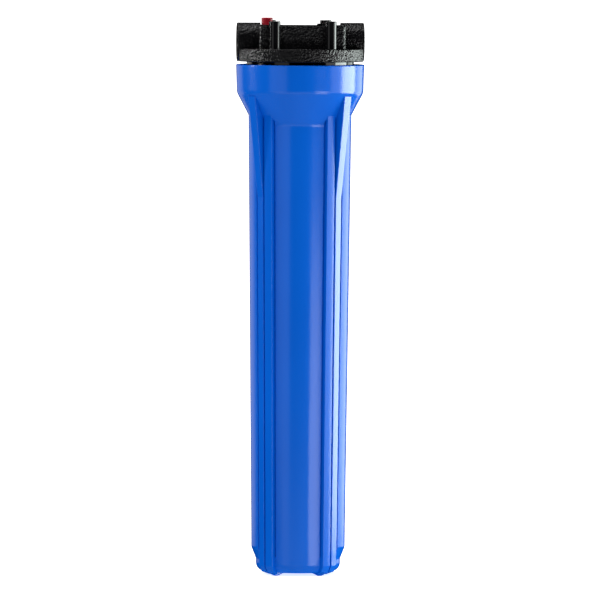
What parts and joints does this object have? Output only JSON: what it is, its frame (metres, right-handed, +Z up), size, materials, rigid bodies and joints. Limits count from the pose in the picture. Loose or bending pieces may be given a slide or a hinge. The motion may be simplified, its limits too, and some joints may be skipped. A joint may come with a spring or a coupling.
{
  "type": "cartridge filter housing",
  "caption": "Tall ribbed plastic filter housing: screw-on cap with side ports and a pressure relief button, holding a pleated filter cartridge.",
  "frame": {"origin": "on the floor under the housing's axis, level with the feet of the sump", "axes": "+Z up along the housing's axis; the ports lie along X, the inlet at -X and the outlet at +X"},
  "size_m": [0.1307, 0.1312, 0.5678],
  "materials": {
    "cap_plastic": "black moulded plastic, pebbled on the band and walls and glossy on the bracket bosses",
    "sump_plastic": "blue moulded polypropylene, soft sheen",
    "button_plastic": "red moulded plastic",
    "seal_rubber": "black moulded rubber",
    "stainless_steel": "stainless steel, drawn or stamped",
    "cartridge_plastic": "white moulded polypropylene",
    "filter_cloth": "white non-woven polyester cloth in sharp pleats"
  },
  "bodies": {
    "sump": {"sump": "sump_plastic", "cartridge_joiner": "cartridge_plastic", "lower_core": "cartridge_plastic", "upper_core": "cartridge_plastic", "lower_pleats": "filter_cloth", "upper_pleats": "filter_cloth", "lower_cage": "cartridge_plastic", "upper_cage": "cartridge_plastic", "lower_end_cap": "cartridge_plastic", "upper_end_cap": "cartridge_plastic", "lower_gasket": "seal_rubber", "upper_gasket": "seal_rubber"},
    "cap_seal": {"cap_o_ring": "seal_rubber"},
    "cap": {"cap": "cap_plastic"},
    "relief_valve": {"relief_button": "button_plastic", "relief_spring": "stainless_steel", "relief_o_ring": "seal_rubber", "relief_washer": "stainless_steel", "relief_screw": "stainless_steel"}
  },
  "joints": [
    {"name": "cap_rise", "type": "slide", "parent": "sump", "child": "cap_seal", "axis": [0, 0, 1], "range_m": [0, 0.0175]},
    {"name": "cap_turn", "type": "hinge", "parent": "cap_seal", "child": "cap", "pos_m": [0, 0, 0.508], "axis": [0, 0, 1], "range_deg": [0, 990]},
    {"name": "relief_press", "type": "slide", "parent": "cap", "child": "relief_valve", "axis": [0, 0, -1], "range_m": [0, 0.0025], "stiffness_N_per_m": 1700, "springref_m": -0.002, "deforming": ["relief_spring"]}
  ],
  "couplings": [
    {"joint": "cap_rise", "follows": "cap_turn", "m_per_rad": 0.0010106}
  ]
}
